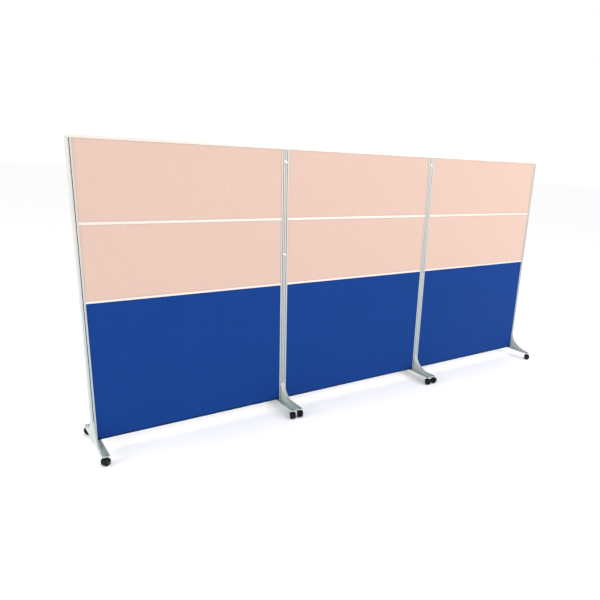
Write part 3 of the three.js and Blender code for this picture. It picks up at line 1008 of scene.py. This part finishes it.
def add_link(joint):
    """A hook link on its pin, and the stud on the next stile that it hooks over."""
    node = joint["child"]
    link = copies(LINK_MESH, f"{node}_plate")
    slope = math.atan2(LINK_DROP, LINK_RUN)
    pin = Vector(joint["pos_m"])
    thickness = Vector((0, -LINK_THICKNESS / 2, 0))
    link.matrix_world = Matrix.Translation(pin + thickness) @ Matrix.Rotation(slope, 4, "Y")
    bpy.context.view_layer.update()
    keep(link, node, node)
    stud = [(0, -1 * MM), (2 * MM, -1 * MM), (2 * MM, 3.4 * MM), (3.4 * MM, 3.5 * MM),
            (3.2 * MM, 4.3 * MM), (2.0 * MM, 4.8 * MM), (0, 4.9 * MM)]
    piece = turned(f"{node}_stud", stud, LINK_METAL, 28)
    place = pin + Vector((LINK_RUN, STUD_SETBACK, -LINK_DROP))
    piece.matrix_world = Matrix.Translation(place) @ Matrix.Rotation(math.pi / 2, 4, "X")
    bpy.context.view_layer.update()
    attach(piece, WALL)


# ------------------------------------------------------------------ assembly

board_low, board_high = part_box("panel_1_upper_board")
rail_low, rail_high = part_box("panel_1_top_rail")
FRAME_DEPTH = rail_high.y - rail_low.y
CHANNEL = board_high.y - board_low.y + BOARD_PLAY
PANEL_EDGES = {}
for panel in PANELS:
    low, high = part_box(f"panel_{panel}_top_rail")
    PANEL_EDGES[panel] = {"left": low.x, "right": high.x}

caster_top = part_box("caster_1_left_front_hood")[1].z
crown_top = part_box("panel_1_left_foot")[0].z - CROWN_BELOW_PLATE
SCREW = screw_head()
NUT = stem_nut()
HOOD_MESH = make_hood(crown_top, caster_top)
WHEEL_MESH = make_wheels()
LINK_MESH = make_link()

for panel in PANELS:
    for side in SIDES:
        add_stile(panel, side)
        add_shade_gaskets(panel, side)
        add_foot(panel, side)
        for end in ENDS:
            add_caster(panel, side, end)
    for kind in ("top", "middle", "lower"):
        add_rail(panel, kind)
    add_top_rail_plugs(panel)
    top_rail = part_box(f"panel_{panel}_top_rail")
    middle_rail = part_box(f"panel_{panel}_middle_rail")
    lower_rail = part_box(f"panel_{panel}_lower_rail")
    add_board(panel, "upper", PEACH, middle_rail[1].z, top_rail[0].z)
    add_board(panel, "middle", PEACH, lower_rail[1].z, middle_rail[0].z)
    floor_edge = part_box(f"panel_{panel}_lower_board")[0].z
    add_board(panel, "lower", BLUE, floor_edge, lower_rail[0].z)
    bar = frame["nodes"][f"panel_{panel}_bottom_rail"]
    for material_slot in bar.material_slots:
        material_slot.material = LENGTHWISE

for joint in frame["joints"]:
    if joint["name"].endswith("_lift"):
        add_link(joint)

for pattern in (SCREW, NUT, HOOD_MESH, WHEEL_MESH, LINK_MESH):
    bpy.data.objects.remove(pattern)


# ------------------------------------------------------------------ studio

CAMERA_PLACE = (-2.3826, -3.1794, 1.6616)
CAMERA_YAW, CAMERA_PITCH, CAMERA_TILT = 0.6346, -0.2883, 0.0490
SENSOR_WIDTH, LENS = 36, 33.83
SHIFT_X, SHIFT_Y = -0.0833, 0.0458
CLIP_END = 200
WORLD_STRENGTH = 1.0


def add_floor():
    size = 60.0
    floor = mesh_object("studio_floor", [(-size, -size, 0), (size, -size, 0), (size, size, 0),
                                         (-size, size, 0)], [[0, 1, 2, 3]], studio_floor("floor"))


def add_area_light(name, place, aim, size, power):
    """A white rectangular light that the camera doesn't see."""
    light = bpy.data.lights.new(name, "AREA")
    light.shape = "RECTANGLE"
    light.size, light.size_y = size
    light.energy = power
    obj = bpy.data.objects.new(name, light)
    obj.visible_camera = False
    obj.location = place
    obj.rotation_euler = (Vector(aim) - Vector(place)).to_track_quat("-Z", "Y").to_euler()
    bpy.context.scene.collection.objects.link(obj)


def add_world():
    """White light from all round, and a white background."""
    world = bpy.data.worlds.new("studio")
    world.use_nodes = True
    background = world.node_tree.nodes["Background"]
    background.inputs["Color"].default_value = (1, 1, 1, 1)
    background.inputs["Strength"].default_value = WORLD_STRENGTH
    bpy.context.scene.world = world


def add_camera():
    """In front of the left end, looking right along the wall and down a little."""
    yaw, pitch, tilt = CAMERA_YAW, CAMERA_PITCH, CAMERA_TILT
    forward = Vector((math.sin(yaw) * math.cos(pitch), math.cos(yaw) * math.cos(pitch),
                      math.sin(pitch)))
    right = Vector((math.cos(yaw), -math.sin(yaw), 0))
    up = right.cross(forward)
    level_right = right * math.cos(tilt) + up * math.sin(tilt)
    level_up = up * math.cos(tilt) - right * math.sin(tilt)
    camera = bpy.data.cameras.new("camera")
    camera.sensor_width = SENSOR_WIDTH
    camera.lens = LENS
    camera.shift_x = SHIFT_X
    camera.shift_y = SHIFT_Y
    camera.clip_end = CLIP_END
    obj = bpy.data.objects.new("camera", camera)
    turn = Matrix((level_right, level_up, -forward)).transposed()
    obj.matrix_world = Matrix.Translation(CAMERA_PLACE) @ turn.to_4x4()
    bpy.context.scene.collection.objects.link(obj)
    bpy.context.scene.camera = obj


add_floor()
add_world()
add_area_light("key", place=(3.6, -4.2, 3.4), aim=(0.6, 0, 0.9), size=(3.0, 2.4), power=84)
add_area_light("overhead", place=(0, -0.4, 5.2), aim=(0, -0.4, 0), size=(9.0, 6.0), power=110)
add_area_light("left", place=(-8.0, -0.4, 2.6), aim=(-1.0, 0, 0.8), size=(3.0, 3.0), power=175)
add_area_light("back", place=(0.5, 4.0, 3.6), aim=(0, 0, 0.6), size=(4.0, 2.0), power=40)
add_camera()
bpy.context.scene.view_settings.view_transform = "Standard"
